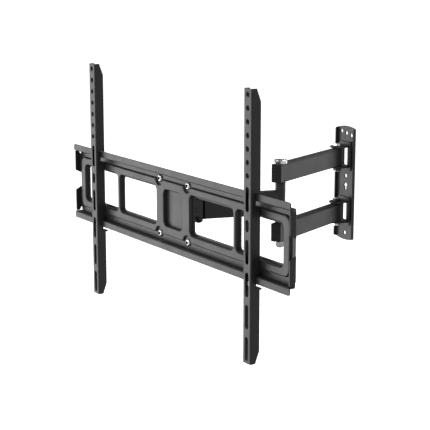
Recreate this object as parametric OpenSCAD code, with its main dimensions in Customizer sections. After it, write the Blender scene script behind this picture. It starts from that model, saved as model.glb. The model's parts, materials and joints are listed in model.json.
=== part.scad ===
// Full motion TV wall mount: wall plate, two rear arms, elbow, front arm,
// swivel and tilt head, pressed TV plate and two hook-on rails.
// X runs to the right along the wall, the TV side faces -Y, Z is up.
// The origin is the middle of the wall plate's back face, on the wall.

/* [Wall plate] */
// Width of the wall plate over its side flanges
wall_plate_w = 53; // [50:1:90]
// Height of the wall plate at its sides
wall_plate_h = 210; // [206:1:300]
// Rise of the arched top and bottom edges
wall_plate_arch = 4; // [0.5:0.5:10]
// Sheet thickness of the wall plate
wall_plate_t = 2.5; // [1.5:0.1:4]
// Depth of the side flanges, sheet included
wall_flange = 8; // [5:0.5:14]
// Distance from the plate's upper and lower edge to the middle lag holes
wall_hole_edge = 9.5; // [8:0.5:14]
// Diameter of the lag holes
wall_hole_d = 7; // [4:0.5:9]
// Sideways step between the three upper lag holes
wall_hole_step = 14; // [11:0.5:16]
// Drop from one upper lag hole to the next
wall_hole_drop = 3; // [0:0.5:4]
// Height of the small fixing hole over the middle of the plate
mid_hole_z = 14.4; // [12:0.2:18]

/* [Wall pivots] */
// Distance from the wall to the pivot axis of the rear arms
pivot_out = 23.5; // [20:0.5:40]
// Diameter of the pivot bolts
pivot_bolt_d = 8; // [6:0.5:9]
// Sheet thickness of the clevis brackets
clevis_t = 3; // [2:0.25:4]
// Width of the clevis back plate
clevis_w = 36; // [30:1:42]
// How far the clevis back plate reaches past the ears
clevis_margin = 6.5; // [1:0.5:8]
// Width of the window through the clevis and the wall plate
clevis_window_w = 14; // [6:1:20]

/* [Arms] */
// Length of the rear arms from axis to axis
rear_arm_len = 204; // [165:1:300]
// Width of the rear arm tube
rear_arm_w = 19; // [16:0.5:22]
// Height of the rear arm tube
rear_arm_h = 32.5; // [24:0.5:40]
// Height of the middle of each rear arm above or below the middle of the mount
rear_arm_z = 52.5; // [44:0.5:60]
// Wall thickness of the arm tubes
arm_wall = 2; // [1.5:0.1:3]
// Length of the front arm from axis to axis
front_arm_len = 148; // [120:1:180]
// Width of the front arm
front_arm_w = 15; // [12:0.5:17]
// Height of the front arm
front_arm_h = 42; // [34:0.5:48]
// Swing of the rear arms to the right of straight out
rear_arm_angle = 22; // [0:1:40]
// Swing of the front arm to the left of straight out
front_arm_angle = 18; // [0:1:40]
// How far the rear arms reach past the elbow axis
arm_tail = 13; // [12:0.5:20]

/* [Elbow] */
// Diameter of the elbow tube
elbow_tube_d = 18; // [16:0.5:20]
// Diameter of the elbow bolt
elbow_bolt_d = 10; // [8:0.5:12]
// Diameter of the elbow bolt's round head
elbow_head_d = 24; // [18:0.5:30]
// Height of the elbow bolt's round head
elbow_head_h = 6.5; // [5:0.5:10]

/* [Head] */
// Diameter of the head post and the tilt tube
head_post_d = 18; // [16:0.5:19]
// Diameter of the head and tilt bolts
head_bolt_d = 8; // [6:0.5:9]
// Distance from the head axis forward to the tilt axis
tilt_offset = 27; // [25:0.5:36]
// Length of the tilt tube between the friction washers
tilt_tube_len = 36; // [30:1:44]
// Distance from the tilt axis to the tilt bracket's back face
tilt_gap = 13.3; // [11:0.5:20]
// Sheet thickness of the tilt bracket
tilt_plate_t = 3; // [2:0.25:4]
// Distance from the plate bolts to the edges of the tilt bracket
tilt_plate_edge = 7.6; // [6:0.1:10]

/* [TV plate] */
// Length of the TV plate
tv_plate_len = 681; // [570:1:800]
// Height of the TV plate over its lips
tv_plate_h = 141.6; // [136:0.2:170]
// Sheet thickness of the TV plate
tv_plate_t = 2.2; // [1.5:0.1:3]
// Depth from the front of the lips to the front of the base sheet
tv_plate_depth = 12.5; // [11.5:0.5:18]
// Height of the lips that carry the rails
lip_h = 10.2; // [8:0.2:12]
// How far the pressed frame stands forward of the base sheet
frame_rise = 4; // [3:0.5:4.5]
// How far the window ledges lie behind the base sheet
ledge_drop = 3.3; // [2.5:0.1:6]
// Distance from the plate's ends to the pressed frame
frame_end_gap = 11.5; // [9:0.5:20]
// Distance from the lips to the pressed frame
frame_lip_gap = 12.9; // [12:0.1:15]
// Width of the pressed frame at its two ends
frame_end_w = 16.5; // [14:0.5:24]
// Width of the pressed frame above and below the windows
frame_edge_w = 13.4; // [12:0.1:18]
// Width of each inner window
inner_window_w = 127; // [90:1:150]
// Width of the bar between an inner and an outer window
window_bar = 8; // [7:0.5:14]
// Width of the bars beside the pocket
pocket_bar = 24.5; // [24:0.5:32]
// Width of the pocket in the middle
pocket_w = 58; // [48:1:64]
// Distance from the pressed frame's edges to the pocket
pocket_edge = 16.2; // [14:0.2:24]
// Width of the ledge round each window opening
ledge_w = 3.4; // [1:0.1:6]
// Distance across between the plate bolts
plate_bolt_x = 89; // [86:1:100]
// How far the plate bolts sit outside the pressed frame's edges
plate_bolt_out = 0.5; // [0:0.1:1.5]
// Diameter of the plate bolts
plate_bolt_d = 6; // [5:0.5:6]

/* [Rails] */
// Height of the rails
rail_h = 430; // [420:1:520]
// Width of the rails' front face
rail_w = 21; // [18:0.5:30]
// Depth of the rails
rail_depth = 17.4; // [16.6:0.2:17.6]
// Sheet thickness of the rails
rail_t = 1.8; // [1.2:0.1:2.5]
// Distance between the middles of the two rails
rail_spacing = 490; // [440:1:520]
// How far the rails' middle lies above the TV plate's middle
rail_rise = 15; // [0:1:25]
// Diameter of the round holes and width of the slots
rail_hole_d = 8.5; // [5:0.5:9.5]
// Number of round holes
rail_hole_count = 7; // [3:1:7]
// Pitch of the round holes
rail_hole_pitch = 20.6; // [18:0.1:21]
// Length of the slots
rail_slot_len = 39; // [30:0.5:42]
// Pitch of the lower slots
rail_slot_pitch = 51.6; // [46:0.1:52]
// Distance from the rails' lower end to the middle of the lowest slot
low_slot_edge = 23.7; // [23:0.1:30]
// Distance from the rails' upper end to the top round hole
top_hole_edge = 9; // [8:0.5:14]
// Distance from the top lower slot up to the slot above it
mid_slot_step = 82.5; // [64:0.5:88]
// Length of the oval hole between them
oval_len = 19; // [12:0.5:20]
// Diameter of the lock screws
lock_screw_d = 5; // [4:0.5:5]

/* [Hidden] */
$fn = 64;

run_gap = 0.05;      // radial clearance of a bolt in its bush
face_gap = 0.2;      // axial clearance between faces that turn on each other
side_gap = 0.4;      // clearance round the lips in the rails' hooks
washer_t = 1;        // thrust and friction washers
bush_wall = 1.5;     // wall of a pivot bush
window_edge = 0.5;   // from an ear's inner face to the clevis window
fork_gap = 0.6;      // between the front arm's sides and the head post
bolt_end = 1.5;      // how far a bolt stands out of its nut
spacer_wall = 3;     // wall of a spacer behind the TV plate
eps = 0.01;

// places worked out from the sizes above
ear_gap = rear_arm_h + 2 * (washer_t + 2 * face_gap);
clevis_h = ear_gap + 2 * clevis_t + 2 * clevis_margin;
clevis_front = wall_plate_t + clevis_t;
window_high = ear_gap - 2 * window_edge;
arrow_z = -4.5;
elbow_span = 2 * rear_arm_z - rear_arm_h;
elbow_tube_h = elbow_span - 2 * (washer_t + 2 * face_gap);
elbow_x = rear_arm_len * sin(rear_arm_angle);
elbow_y = -pivot_out - rear_arm_len * cos(rear_arm_angle);
head_x = elbow_x - front_arm_len * sin(front_arm_angle);
head_y = elbow_y - front_arm_len * cos(front_arm_angle);
tilt_y = head_y - tilt_offset;
head_post_h = front_arm_h - 2 * arm_wall - 2 * (washer_t + 2 * face_gap);

// the TV plate, from the front face of its lips back
ledge_back_y = tilt_y - tilt_gap - tilt_plate_t;
ledge_y = ledge_back_y - tv_plate_t;
base_y = ledge_y - ledge_drop;
lip_y = base_y - tv_plate_depth;
frame_y = base_y - frame_rise;
frame_r = 14;
window_r = 9;
lip_z = tv_plate_h / 2 - lip_h;
frame_len = tv_plate_len - 2 * frame_end_gap;
frame_h = 2 * (lip_z - frame_lip_gap);
window_h = frame_h - 2 * frame_edge_w;
pocket_h = frame_h - 2 * pocket_edge;
inner_window_x = pocket_w / 2 + pocket_bar + inner_window_w / 2;
outer_window_start = pocket_w / 2 + pocket_bar + inner_window_w + window_bar;
outer_window_w = frame_len / 2 - frame_end_w - outer_window_start;
outer_window_x = outer_window_start + outer_window_w / 2;
plate_bolt_z = frame_h + 2 * plate_bolt_out;
tilt_plate_w = plate_bolt_x + 2 * tilt_plate_edge;
tilt_plate_h = plate_bolt_z + 2 * tilt_plate_edge;
tilt_washer_gap = washer_t + 2 * face_gap;
cheek_in = tilt_tube_len / 2 + tilt_washer_gap;
wall_bolt_span = wall_plate_h - 2 * wall_hole_edge;
scallop_r = 11;

// the rails, from their front face back
rail_out = 9.5;      // the rails' front face, forward of the lips
rail_y = lip_y - rail_out;
rail_z = rail_rise;
rail_end_cut = 20;
rail_end_depth = 9.8;
notch_h = lip_h + tv_plate_t + 0.8;
lock_y = lip_y + tv_plate_t + side_gap + lock_screw_d / 2 + 0.6;
lock_drop = 9;       // the lock tab, below the lower lip
lock_z = -tv_plate_h / 2 - lock_drop;
lock_t = 2.2;
lock_gap = 1.6;
low_slot_count = 4;
top_hole_z = rail_h / 2 - top_hole_edge;
low_slot_z = low_slot_edge - rail_h / 2;
mid_slot_z = low_slot_z + (low_slot_count - 1) * rail_slot_pitch + mid_slot_step;
oval_z = mid_slot_z - mid_slot_step / 2;

steel = [0.17, 0.17, 0.18];
plastic = [0.07, 0.07, 0.08];
chrome = [0.8, 0.8, 0.82];

// ---------- shared shapes ----------

module rounded_rect(w, h, r) {
    square([w - 2 * r, h], center = true);
    square([w, h - 2 * r], center = true);
    for (x = [-1, 1], y = [-1, 1])
        translate([x * (w / 2 - r), y * (h / 2 - r)])
            circle(r);
}

module slot_shape(len, d) {
    square([len - d, d], center = true);
    for (x = [-1, 1])
        translate([x * (len - d) / 2, 0])
            circle(d = d);
}

// A shape drawn in X and Z, given thickness from y back to y + t
module sheet_y(y, t) {
    translate([0, y + t, 0])
        rotate([90, 0, 0])
            linear_extrude(t)
                children();
}

// A hex head or nut with chamfered corners; it stands on z = 0
module hex(across, h) {
    intersection() {
        cylinder(d = across / cos(30), h = h, $fn = 6);
        rotate_extrude()
            polygon([[0, 0], [across / 2 + 0.3, 0], [across / cos(30) / 2, 0.9],
                [across / cos(30) / 2, h - 0.9], [across / 2, h], [0, h]]);
    }
}

function hex_across(d) = d * 1.6;
function hex_height(d) = d * 0.65;

module hex_nut(d) {
    difference() {
        hex(hex_across(d), hex_height(d));
        translate([0, 0, -1])
            cylinder(d = d, h = hex_height(d) + 2);
    }
}

// A hex bolt whose head stands on z = 0 and whose shank hangs down
module hex_bolt(d, len) {
    hex(hex_across(d), hex_height(d));
    translate([0, 0, -len])
        cylinder(d = d, h = len + eps);
}

module washer(d_out, d_in, t) {
    difference() {
        cylinder(d = d_out, h = t);
        translate([0, 0, -1])
            cylinder(d = d_in, h = t + 2);
    }
}

// ---------- places ----------

module at_wall_pivot(z) {
    translate([0, -pivot_out, z])
        children();
}

// +X runs from the wall pivot out along the rear arms
module along_rear_arm(z) {
    at_wall_pivot(z)
        rotate([0, 0, rear_arm_angle - 90])
            children();
}

module at_elbow(z) {
    translate([elbow_x, elbow_y, z])
        children();
}

// +X runs from the elbow out along the front arm
module along_front_arm(z) {
    at_elbow(z)
        rotate([0, 0, -90 - front_arm_angle])
            children();
}

module at_head(z) {
    translate([head_x, head_y, z])
        children();
}

// the tilt axis, with Z turned along +X
module at_tilt(x) {
    translate([head_x + x, tilt_y, 0])
        rotate([0, 90, 0])
            children();
}

module at_plate_bolts() {
    for (x = [-1, 1], z = [-1, 1])
        translate([head_x + x * plate_bolt_x / 2, 0, z * plate_bolt_z / 2])
            children();
}

// ---------- wall side ----------

module arch_cap(w, h, rise) {
    arch_r = (w * w / 4 + rise * rise) / (2 * rise);
    intersection() {
        translate([0, h / 2 + rise - arch_r])
            circle(arch_r, $fn = 180);
        translate([-w / 2, h / 2 - 1])
            square([w, rise + 2]);
    }
}

module arrow_shape() {
    polygon([[0, 7.5], [6, 0.5], [2.4, 0.5], [2.4, -7.5], [-2.4, -7.5], [-2.4, 0.5], [-6, 0.5]]);
}

module wall_plate_face() {
    difference() {
        union() {
            square([wall_plate_w, wall_plate_h], center = true);
            arch_cap(wall_plate_w, wall_plate_h, wall_plate_arch);
            mirror([0, 1])
                arch_cap(wall_plate_w, wall_plate_h, wall_plate_arch);
        }
        for (i = [-1, 0, 1])
            translate([i * wall_hole_step, wall_bolt_span / 2 - i * wall_hole_drop])
                circle(d = wall_hole_d);
        translate([0, -wall_bolt_span / 2])
            circle(d = wall_hole_d);
        translate([0, mid_hole_z])
            circle(d = wall_hole_d);
        translate([0, arrow_z])
            arrow_shape();
        for (s = [-1, 1])
            translate([0, s * rear_arm_z])
                rounded_rect(clevis_window_w, window_high, 2);
    }
}

module wall_plate() {
    color(steel) {
        sheet_y(-wall_plate_t, wall_plate_t)
            wall_plate_face();
        for (s = [-1, 1])
            translate([s * (wall_plate_w - wall_plate_t) / 2, -(wall_flange + wall_plate_t) / 2, 0])
                cube([wall_plate_t, wall_flange - wall_plate_t + 2 * eps, wall_plate_h], center = true);
    }
}

module clevis_ear() {
    difference() {
        union() {
            translate([-clevis_w / 2 + 4, -pivot_out])
                square([clevis_w - 8, pivot_out - wall_plate_t - eps]);
            translate([0, -pivot_out])
                circle(clevis_w / 2 - 4);
        }
        translate([0, -pivot_out])
            circle(d = pivot_bolt_d);
    }
}

module clevis(z) {
    color(steel) {
        sheet_y(-clevis_front, clevis_t)
            translate([0, z])
                difference() {
                    rounded_rect(clevis_w, clevis_h, 5);
                    rounded_rect(clevis_window_w, window_high, 2);
                }
        for (s = [0, 1])
            translate([0, 0, z - ear_gap / 2 - clevis_t + s * (ear_gap + clevis_t)])
                linear_extrude(clevis_t)
                    clevis_ear();
    }
}

module upper_clevis() {
    clevis(rear_arm_z);
}

module lower_clevis() {
    clevis(-rear_arm_z);
}

module pivot_bolt(s) {
    shank = ear_gap + 2 * clevis_t + hex_height(pivot_bolt_d) + bolt_end;
    color(chrome)
        at_wall_pivot(s * (rear_arm_z + ear_gap / 2 + clevis_t))
            mirror([0, 0, s < 0 ? 1 : 0])
                hex_bolt(pivot_bolt_d, shank);
}

module pivot_nut(s) {
    color(steel)
        at_wall_pivot(s * (rear_arm_z - ear_gap / 2 - clevis_t))
            mirror([0, 0, s > 0 ? 1 : 0])
                hex_nut(pivot_bolt_d);
}

module upper_pivot_bolt() {
    pivot_bolt(1);
}

module lower_pivot_bolt() {
    pivot_bolt(-1);
}

module upper_pivot_nut() {
    pivot_nut(1);
}

module lower_pivot_nut() {
    pivot_nut(-1);
}

module wall_pivot_washers() {
    color(plastic)
        for (z = [-1, 1], s = [-1, 1])
            at_wall_pivot(z * rear_arm_z + s * (ear_gap / 2 - washer_t / 2) - washer_t / 2)
                washer(rear_arm_w, pivot_bolt_d, washer_t);
}

// ---------- rear arms ----------

module rear_arm(z) {
    bush_d = pivot_bolt_d + 2 * (run_gap + bush_wall);
    color(steel)
        along_rear_arm(z)
            difference() {
                union() {
                    cylinder(d = rear_arm_w, h = rear_arm_h, center = true);
                    translate([0, -rear_arm_w / 2, -rear_arm_h / 2])
                        cube([rear_arm_len + arm_tail, rear_arm_w, rear_arm_h]);
                }
                translate([rear_arm_w / 2 + 2, -rear_arm_w / 2 + arm_wall, -rear_arm_h / 2 + arm_wall])
                    cube([rear_arm_len + arm_tail, rear_arm_w - 2 * arm_wall,
                        rear_arm_h - 2 * arm_wall]);
                cylinder(d = bush_d, h = rear_arm_h + 2, center = true);
                translate([rear_arm_len, 0, 0])
                    cylinder(d = elbow_bolt_d, h = rear_arm_h + 2, center = true);
            }
}

module upper_arm() {
    rear_arm(rear_arm_z);
}

module lower_arm() {
    rear_arm(-rear_arm_z);
}

// Two plain bushes pressed into an arm's wall end
module arm_bushes(z) {
    d_in = pivot_bolt_d + 2 * run_gap;
    len = rear_arm_h * 0.35;
    color(plastic)
        for (s = [-1, 1])
            at_wall_pivot(z + s * (rear_arm_h - len) / 2 - len / 2)
                washer(d_in + 2 * bush_wall, d_in, len);
}

module upper_arm_bushes() {
    arm_bushes(rear_arm_z);
}

module lower_arm_bushes() {
    arm_bushes(-rear_arm_z);
}

module arm_end_cap(z) {
    cap_t = 2;
    plug = 4;
    color(plastic)
        along_rear_arm(z)
            translate([rear_arm_len + arm_tail, 0, 0]) {
                translate([cap_t / 2, 0, 0])
                    rotate([90, 0, 90])
                        linear_extrude(cap_t, center = true)
                            rounded_rect(rear_arm_w, rear_arm_h, 1.2);
                translate([-plug / 2, 0, 0])
                    cube([plug + 2 * eps, rear_arm_w - 2 * arm_wall, rear_arm_h - 2 * arm_wall],
                        center = true);
            }
}

module upper_arm_end_cap() {
    arm_end_cap(rear_arm_z);
}

module lower_arm_end_cap() {
    arm_end_cap(-rear_arm_z);
}

module elbow_sleeve(z) {
    color(chrome)
        at_elbow(z - rear_arm_h / 2 + arm_wall)
            washer(elbow_bolt_d + 3, elbow_bolt_d, rear_arm_h - 2 * arm_wall);
}

module upper_elbow_sleeve() {
    elbow_sleeve(rear_arm_z);
}

module lower_elbow_sleeve() {
    elbow_sleeve(-rear_arm_z);
}

// ---------- elbow ----------

module elbow_bolt() {
    top = rear_arm_z + rear_arm_h / 2;
    r = elbow_head_d / 2;
    socket_r = elbow_head_d / 3;
    color(chrome) {
        at_elbow(top)
            rotate_extrude($fn = 96)
                polygon([[0, 0], [r - 0.6, 0], [r, 0.6], [r, elbow_head_h - 1.4],
                    [r - 1.4, elbow_head_h], [socket_r, elbow_head_h],
                    [socket_r, elbow_head_h - 2.4], [0, elbow_head_h - 2.4]]);
        at_elbow(-top - elbow_bolt_d)
            cylinder(d = elbow_bolt_d, h = 2 * top + elbow_bolt_d + eps);
    }
}

module elbow_nut() {
    top = rear_arm_z + rear_arm_h / 2;
    r = elbow_head_d / 2 - 2;
    dome_r = elbow_bolt_d / 2 + 2;
    dome_h = elbow_bolt_d + 2.5;
    color(chrome)
        at_elbow(-top)
            mirror([0, 0, 1])
                rotate_extrude($fn = 96)
                    polygon([[elbow_bolt_d / 2, 0], [r - 0.5, 0], [r, 0.5], [r, 3], [r - 1.5, 4],
                        [dome_r + 0.4, dome_h - 4], [dome_r - 0.8, dome_h - 1], [dome_r - 2.4, dome_h],
                        [0, dome_h], [0, elbow_bolt_d + 0.5], [elbow_bolt_d / 2, elbow_bolt_d + 0.5]]);
}

module elbow_washers() {
    color(plastic)
        for (s = [-1, 1])
            at_elbow(s * (elbow_span / 2 - washer_t / 2) - washer_t / 2)
                washer(elbow_tube_d, elbow_bolt_d, washer_t);
}

module elbow_tube() {
    bush_d = elbow_bolt_d + 2 * (run_gap + bush_wall);
    color(steel)
        at_elbow(-elbow_tube_h / 2)
            washer(elbow_tube_d, bush_d, elbow_tube_h);
}

module elbow_bushes() {
    d_in = elbow_bolt_d + 2 * run_gap;
    len = elbow_tube_h * 0.25;
    color(plastic)
        for (s = [-1, 1])
            at_elbow(s * (elbow_tube_h - len) / 2 - len / 2)
                washer(d_in + 2 * bush_wall, d_in, len);
}

// ---------- front arm and head ----------

module front_arm() {
    fork_start = front_arm_len - head_post_d / 2 - fork_gap;
    color(steel)
        along_front_arm(0)
            difference() {
                union() {
                    translate([0, -front_arm_w / 2, -front_arm_h / 2])
                        cube([front_arm_len, front_arm_w, front_arm_h]);
                    translate([front_arm_len, 0, 0])
                        cylinder(d = head_post_d, h = front_arm_h, center = true);
                }
                translate([-1, -front_arm_w / 2 + arm_wall, -front_arm_h / 2 + arm_wall])
                    cube([front_arm_len + 2, front_arm_w - 2 * arm_wall, front_arm_h - 2 * arm_wall]);
                translate([fork_start, -head_post_d, -front_arm_h / 2 + arm_wall])
                    cube([2 * head_post_d, 2 * head_post_d, front_arm_h - 2 * arm_wall]);
                cylinder(d = elbow_tube_d, h = front_arm_h + 2, center = true);
                translate([front_arm_len, 0, 0])
                    cylinder(d = head_bolt_d, h = front_arm_h + 2, center = true);
            }
}

module head_bolt() {
    color(steel)
        at_head(front_arm_h / 2)
            hex_bolt(head_bolt_d, front_arm_h + hex_height(head_bolt_d) + bolt_end);
}

module head_nut() {
    color(steel)
        at_head(-front_arm_h / 2)
            mirror([0, 0, 1])
                hex_nut(head_bolt_d);
}

module head_washers() {
    color(plastic)
        for (s = [-1, 1])
            at_head(s * (front_arm_h / 2 - arm_wall - washer_t / 2) - washer_t / 2)
                washer(head_post_d - 1, head_bolt_d, washer_t);
}

module head_post() {
    bush_d = head_bolt_d + 2 * (run_gap + bush_wall);
    color(steel)
        at_head(-head_post_h / 2)
            washer(head_post_d, bush_d, head_post_h);
}

module head_bushes() {
    d_in = head_bolt_d + 2 * run_gap;
    len = head_post_h * 0.35;
    color(plastic)
        for (s = [-1, 1])
            at_head(s * (head_post_h - len) / 2 - len / 2)
                washer(d_in + 2 * bush_wall, d_in, len);
}

// Two upright cheeks join the head post to the tilt tube
module head_bracket() {
    cheek_t = 4;
    color(steel)
        difference() {
            for (s = [-1, 1])
                translate([head_x + s * (head_post_d / 2 - cheek_t / 2), tilt_y + tilt_offset / 2, 0])
                    cube([cheek_t, tilt_offset, head_post_h - 6], center = true);
            at_head(-head_post_h)
                cylinder(d = head_post_d, h = 2 * head_post_h);
            at_tilt(-head_post_d)
                cylinder(d = head_post_d - 2, h = 2 * head_post_d);
        }
}

module tilt_tube() {
    color(steel)
        at_tilt(-tilt_tube_len / 2)
            washer(head_post_d - 2, head_bolt_d + 2 * run_gap, tilt_tube_len);
}

// ---------- tilt ----------

module tilt_bracket() {
    cheek_r = 9;
    color(steel) {
        difference() {
            sheet_y(tilt_y - tilt_gap - tilt_plate_t, tilt_plate_t)
                translate([head_x, 0])
                    rounded_rect(tilt_plate_w, tilt_plate_h, 6);
            at_plate_bolts()
                translate([0, tilt_y - tilt_gap + 1, 0])
                    rotate([90, 0, 0])
                        cylinder(d = plate_bolt_d, h = tilt_plate_t + 2);
        }
        for (s = [-1, 1])
            translate([s * (cheek_in + tilt_plate_t / 2) - tilt_plate_t / 2, 0, 0])
                at_tilt(0)
                    linear_extrude(tilt_plate_t)
                        difference() {
                            union() {
                                circle(cheek_r);
                                translate([-cheek_r, -tilt_gap - eps])
                                    square([2 * cheek_r, tilt_gap + eps]);
                            }
                            circle(d = head_bolt_d);
                        }
    }
}

module tilt_bolt() {
    half = cheek_in + tilt_plate_t;
    color(steel)
        at_tilt(half)
            hex_bolt(head_bolt_d, 2 * half + hex_height(head_bolt_d) + bolt_end);
}

module tilt_nut() {
    color(steel)
        at_tilt(-cheek_in - tilt_plate_t)
            mirror([0, 0, 1])
                hex_nut(head_bolt_d);
}

module tilt_washers() {
    color(plastic)
        for (s = [-1, 1])
            at_tilt(s * (cheek_in - washer_t / 2) - washer_t / 2)
                washer(head_post_d - 3, head_bolt_d, washer_t);
}

// ---------- TV plate ----------

// The outline of the pressed frame, drawn in by the amount inset
module frame_outline(inset) {
    difference() {
        rounded_rect(frame_len - 2 * inset, frame_h - 2 * inset, frame_r - inset);
        for (x = [-1, 1], z = [-1, 1])
            translate([x * plate_bolt_x / 2, z * plate_bolt_z / 2])
                circle(scallop_r + inset);
    }
}

// The four windows, each drawn out by the amount grow
module window_shapes(grow) {
    for (s = [-1, 1]) {
        translate([s * outer_window_x, 0])
            rounded_rect(outer_window_w + 2 * grow, window_h + 2 * grow, window_r + grow);
        translate([s * inner_window_x, 0])
            rounded_rect(inner_window_w + 2 * grow, window_h + 2 * grow, window_r + grow);
    }
}

module pocket_shape(grow) {
    rounded_rect(pocket_w + 2 * grow, pocket_h + 2 * grow, window_r + grow);
}

// One side flange, drawn in Y and Z, with its free corners cut off
module side_flange_shape() {
    depth = base_y + tv_plate_t - lip_y - 1.5;
    end_z = lip_z - 3;
    cut = 6;
    polygon([[0, 15.5], [depth, 21.5], [depth, end_z], [cut, end_z], [0, end_z - cut]]);
    polygon([[0, -12], [0, cut - end_z], [cut, -end_z], [depth, -end_z], [depth, -18]]);
}

module tv_plate() {
    t = tv_plate_t;
    color(steel)
        translate([head_x, 0, 0])
            difference() {
                union() {
                    // base sheet with the pressed frame standing forward of it
                    sheet_y(base_y, t)
                        difference() {
                            square([tv_plate_len - 2, 2 * lip_z], center = true);
                            frame_outline(t);
                        }
                    sheet_y(frame_y, base_y + t - frame_y)
                        difference() {
                            frame_outline(0);
                            frame_outline(t);
                        }
                    sheet_y(frame_y, t)
                        difference() {
                            frame_outline(0);
                            window_shapes(0);
                            pocket_shape(0);
                        }
                    // walls down to the ledges and the pocket floor
                    sheet_y(frame_y, ledge_y + t - frame_y)
                        difference() {
                            union() {
                                window_shapes(t);
                                pocket_shape(t);
                            }
                            window_shapes(0);
                            pocket_shape(0);
                        }
                    sheet_y(ledge_y, t)
                        difference() {
                            union() {
                                window_shapes(eps);
                                pocket_shape(eps);
                            }
                            window_shapes(-ledge_w);
                        }
                    // flanges and lips along the top and the bottom
                    for (s = [-1, 1]) {
                        translate([0, (lip_y + base_y + t) / 2, s * (lip_z - t / 2)])
                            cube([tv_plate_len - 2, base_y + t - lip_y, t], center = true);
                        sheet_y(lip_y, t)
                            translate([0, s * (lip_z + lip_h / 2 - t / 2)])
                                rounded_rect(tv_plate_len, lip_h + t, 4);
                    }
                    // flanges at the two ends
                    for (s = [-1, 1])
                        translate([s * (tv_plate_len / 2 - 1 - t / 2) - t / 2, base_y + t, 0])
                            rotate([90, 0, 90])
                                mirror([1, 0])
                                    linear_extrude(t)
                                        side_flange_shape();
                }
                for (x = [-1, 1], z = [-1, 1])
                    translate([x * plate_bolt_x / 2, base_y + t + 1, z * plate_bolt_z / 2])
                        rotate([90, 0, 0])
                            cylinder(d = plate_bolt_d, h = t + 2);
            }
}

module plate_bolts() {
    shank = tilt_y - tilt_gap - base_y + hex_height(plate_bolt_d) + 1;
    head_r = plate_bolt_d * 1.05;
    head_h = plate_bolt_d * 0.55;
    color(chrome)
        at_plate_bolts()
            translate([0, base_y, 0])
                rotate([90, 0, 0]) {
                    difference() {
                        rotate_extrude()
                            polygon([[0, 0], [head_r, 0], [head_r, head_h * 0.35],
                                [head_r * 0.8, head_h * 0.85], [head_r * 0.55, head_h], [0, head_h]]);
                        translate([0, 0, head_h * 0.35])
                            cylinder(d = plate_bolt_d * 0.72, h = head_h, $fn = 6);
                    }
                    translate([0, 0, -shank])
                        cylinder(d = plate_bolt_d, h = shank + eps);
                }
}

module plate_nuts() {
    color(steel)
        at_plate_bolts()
            translate([0, tilt_y - tilt_gap, 0])
                rotate([-90, 0, 0])
                    hex_nut(plate_bolt_d);
}

module plate_spacers() {
    color(chrome)
        at_plate_bolts()
            translate([0, base_y + tv_plate_t, 0])
                rotate([-90, 0, 0])
                    washer(plate_bolt_d + 2 * spacer_wall, plate_bolt_d, ledge_drop);
}

// ---------- rails ----------

// The side of a rail, drawn in Y and Z with its notches for the lips
module rail_side() {
    top = rail_z + rail_h / 2;
    low = rail_z - rail_h / 2;
    slot_y = lip_y - side_gap - rail_y;
    difference() {
        polygon([[0, low], [rail_end_depth, low], [rail_depth, low + rail_end_cut],
            [rail_depth, top - rail_end_cut], [rail_end_depth, top], [0, top]]);
        translate([slot_y, lip_z + side_gap - notch_h])
            square([rail_depth, notch_h]);
        translate([slot_y, lip_z + side_gap - notch_h])
            square([tv_plate_t + 2 * side_gap, notch_h + lip_h]);
        translate([slot_y, lock_z + lock_gap])
            square([rail_depth, tv_plate_t + side_gap - lip_z - lock_z - lock_gap]);
    }
}

module rail_face() {
    difference() {
        translate([0, rail_z])
            square([rail_w, rail_h], center = true);
        for (i = [0 : rail_hole_count - 1])
            translate([0, rail_z + top_hole_z - i * rail_hole_pitch])
                circle(d = rail_hole_d);
        for (i = [0 : low_slot_count - 1])
            translate([0, rail_z + low_slot_z + i * rail_slot_pitch])
                rotate(90)
                    slot_shape(rail_slot_len, rail_hole_d);
        translate([0, rail_z + mid_slot_z])
            rotate(90)
                slot_shape(rail_slot_len, rail_hole_d);
        translate([0, rail_z + oval_z])
            rotate(90)
                slot_shape(oval_len, rail_hole_d);
    }
}

module rail(s) {
    color(steel)
        translate([head_x + s * rail_spacing / 2, 0, 0]) {
            sheet_y(rail_y, rail_t)
                rail_face();
            for (side = [-1, 1])
                translate([side * (rail_w - rail_t) / 2 - rail_t / 2, rail_y, 0])
                    rotate([90, 0, 90])
                        linear_extrude(rail_t)
                            rail_side();
        }
}

module left_rail() {
    rail(-1);
}

module right_rail() {
    rail(1);
}

// A tab welded between the rail's sides; the lock screw runs in it
module lock_bracket(s) {
    half_w = rail_w / 2 - rail_t;
    tab_front = rail_t + 3;
    tab_back = rail_depth + 6.5;
    cut = 3;
    color(steel)
        translate([head_x + s * rail_spacing / 2, rail_y, lock_z - lock_t])
            difference() {
                linear_extrude(lock_t)
                    polygon([[-half_w, tab_front], [half_w, tab_front], [half_w, tab_back - cut],
                        [half_w - cut, tab_back], [cut - half_w, tab_back], [-half_w, tab_back - cut]]);
                translate([0, lock_y - rail_y, -1])
                    cylinder(d = lock_screw_d + 2 * run_gap, h = lock_t + 2);
            }
}

module left_lock_bracket() {
    lock_bracket(-1);
}

module right_lock_bracket() {
    lock_bracket(1);
}

// A socket screw, its head just under the tab and its tip up behind the lower lip
module lock_screw(s) {
    tip = -lip_z - 1;
    head_top = lock_z - lock_t - 0.5;
    head_h = lock_screw_d * 0.8;
    color(steel)
        translate([head_x + s * rail_spacing / 2, lock_y, head_top]) {
            translate([0, 0, -eps])
                cylinder(d = lock_screw_d, h = tip - head_top);
            difference() {
                translate([0, 0, -head_h])
                    cylinder(d = lock_screw_d * 1.7, h = head_h);
                translate([0, 0, -head_h - 1])
                    cylinder(d = lock_screw_d * 0.9, h = head_h * 0.6 + 1, $fn = 6);
            }
        }
}

module left_lock_screw() {
    lock_screw(-1);
}

module right_lock_screw() {
    lock_screw(1);
}

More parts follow.
